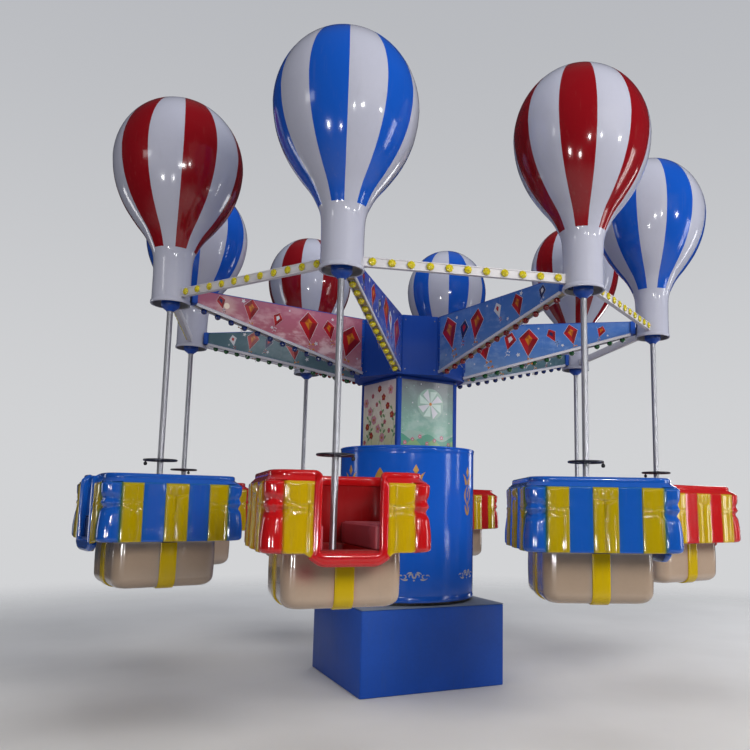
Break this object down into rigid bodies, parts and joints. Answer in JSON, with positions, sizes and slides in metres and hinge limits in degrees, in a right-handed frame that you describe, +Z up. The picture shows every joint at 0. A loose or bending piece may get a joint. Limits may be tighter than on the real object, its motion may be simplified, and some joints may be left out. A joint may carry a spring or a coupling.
{
  "type": "balloon ride",
  "caption": "Fairground balloon ride: a lifting, turning centre on a square base carries arms with striped balloons and spinning gift-box gondolas.",
  "frame": {"origin": "on the ground, under the centre of the square base, on the turning axis", "axes": "+Z up along the turning axis; X and Y along the sides of the square base"},
  "size_m": [6.1772, 6.3124, 5.26],
  "materials": {
    "blue_paint": "satin blue paint",
    "base_plate_paint": "dusty blue paint",
    "drum_paint": "glossy blue paint",
    "dark_steel": "dark paint",
    "steel": "machined steel",
    "white_paint": "white paint",
    "blue_balloon": "glossy blue and white gelcoat",
    "red_balloon": "glossy red and white gelcoat",
    "pole_steel": "polished stainless tube",
    "beige_gelcoat": "glossy beige gelcoat with yellow ribbon",
    "red_gelcoat": "glossy red and yellow gelcoat",
    "blue_gelcoat": "glossy blue and yellow gelcoat"
  },
  "bodies": {
    "base": {"base_housing": "blue_paint", "base_top_plate": "base_plate_paint", "drum_foot": "dark_steel", "drum_shell": "drum_paint", "drum_lid": "drum_paint", "guide_post": "steel"},
    "lift": {"mast": "steel"},
    "rotor": {"slewing_ring": "dark_steel", "column_housing": "blue_paint", "hub": "blue_paint", "arm_1": "blue_paint", "arm_2": "blue_paint", "arm_3": "blue_paint", "arm_4": "blue_paint", "arm_5": "blue_paint", "arm_6": "blue_paint", "arm_7": "blue_paint", "arm_8": "blue_paint", "lamp_bar_1": "white_paint", "lamp_bar_2": "white_paint", "lamp_bar_3": "white_paint", "lamp_bar_4": "white_paint", "lamp_bar_5": "white_paint", "lamp_bar_6": "white_paint", "lamp_bar_7": "white_paint", "lamp_bar_8": "white_paint", "balloon_1": "blue_balloon", "balloon_2": "red_balloon", "balloon_3": "blue_balloon", "balloon_4": "red_balloon", "balloon_5": "blue_balloon", "balloon_6": "red_balloon", "balloon_7": "blue_balloon", "balloon_8": "red_balloon", "pole_1": "pole_steel", "pole_2": "pole_steel", "pole_3": "pole_steel", "pole_4": "pole_steel", "pole_5": "pole_steel", "pole_6": "pole_steel", "pole_7": "pole_steel", "pole_8": "pole_steel"},
    "gondola_1": {"tub_1": "beige_gelcoat", "skirt_1": "red_gelcoat"},
    "gondola_2": {"tub_2": "beige_gelcoat", "skirt_2": "blue_gelcoat"},
    "gondola_3": {"tub_3": "beige_gelcoat", "skirt_3": "red_gelcoat"},
    "gondola_4": {"tub_4": "beige_gelcoat", "skirt_4": "blue_gelcoat"},
    "gondola_5": {"tub_5": "beige_gelcoat", "skirt_5": "red_gelcoat"},
    "gondola_6": {"tub_6": "beige_gelcoat", "skirt_6": "blue_gelcoat"},
    "gondola_7": {"tub_7": "beige_gelcoat", "skirt_7": "red_gelcoat"},
    "gondola_8": {"tub_8": "beige_gelcoat", "skirt_8": "blue_gelcoat"}
  },
  "joints": [
    {"name": "lift", "type": "slide", "parent": "base", "child": "lift", "axis": [0, 0, 1], "range_m": [0, 0.9]},
    {"name": "turn", "type": "hinge", "parent": "lift", "child": "rotor", "pos_m": [0, 0, 2.95], "axis": [0, 0, 1], "continuous": true},
    {"name": "spin_1", "type": "hinge", "parent": "rotor", "child": "gondola_1", "pos_m": [-1.44108, -2.04286, 1.12], "axis": [0, 0, 1], "continuous": true},
    {"name": "spin_2", "type": "hinge", "parent": "rotor", "child": "gondola_2", "pos_m": [-2.46352, -0.42552, 1.12], "axis": [0, 0, 1], "continuous": true},
    {"name": "spin_3", "type": "hinge", "parent": "rotor", "child": "gondola_3", "pos_m": [-2.04286, 1.44108, 1.12], "axis": [0, 0, 1], "continuous": true},
    {"name": "spin_4", "type": "hinge", "parent": "rotor", "child": "gondola_4", "pos_m": [-0.42552, 2.46352, 1.12], "axis": [0, 0, 1], "continuous": true},
    {"name": "spin_5", "type": "hinge", "parent": "rotor", "child": "gondola_5", "pos_m": [1.44108, 2.04286, 1.12], "axis": [0, 0, 1], "continuous": true},
    {"name": "spin_6", "type": "hinge", "parent": "rotor", "child": "gondola_6", "pos_m": [2.46352, 0.42552, 1.12], "axis": [0, 0, 1], "continuous": true},
    {"name": "spin_7", "type": "hinge", "parent": "rotor", "child": "gondola_7", "pos_m": [2.04286, -1.44108, 1.12], "axis": [0, 0, 1], "continuous": true},
    {"name": "spin_8", "type": "hinge", "parent": "rotor", "child": "gondola_8", "pos_m": [0.42552, -2.46352, 1.12], "axis": [0, 0, 1], "continuous": true}
  ]
}
